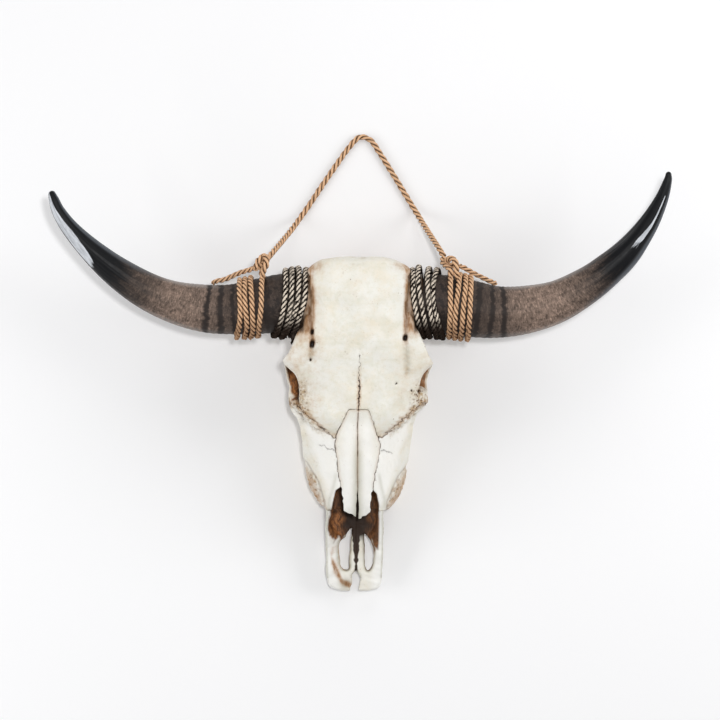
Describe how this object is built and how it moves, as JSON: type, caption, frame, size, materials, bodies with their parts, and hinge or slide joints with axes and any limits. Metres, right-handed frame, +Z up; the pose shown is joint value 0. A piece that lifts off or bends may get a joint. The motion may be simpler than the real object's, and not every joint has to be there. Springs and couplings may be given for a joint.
{
  "type": "longhorn steer skull",
  "caption": "Weathered longhorn skull without a lower jaw, wide curved horns bound with cord at the base, and a rope hanger laid out behind it.",
  "frame": {"origin": "middle of the footprint of the skull and horns, on the surface it rests on; the rope hanger isn't counted", "axes": "+X across the forehead towards the animal's own left horn, +Y from the muzzle to the poll, +Z up, out of the forehead"},
  "size_m": [0.927, 0.7028, 0.1859],
  "materials": {
    "bone": "dry weathered bone, ivory with grey and brown stains, matt with a faint sheen on the forehead",
    "horn": "natural horn, near-black and polished at the tips, mottled grey-brown and duller towards the base",
    "dark_cord": "dark brown twisted cord with dry cream highlights on its strands",
    "jute": "tan twisted jute rope with loose fibres"
  },
  "bodies": {
    "root": {"cranium": "bone", "upper_jaw": "bone", "nasal_bone_left": "bone", "nasal_bone_right": "bone", "incisive_bone_left": "bone", "incisive_bone_right": "bone", "horn_left": "horn", "dark_binding_left": "dark_cord", "jute_binding_left": "jute", "knot_left": "jute", "rope_tail_left": "jute", "horn_right": "horn", "dark_binding_right": "dark_cord", "jute_binding_right": "jute", "knot_right": "jute", "rope_tail_right": "jute", "hanging_rope": "jute"}
  },
  "joints": []
}
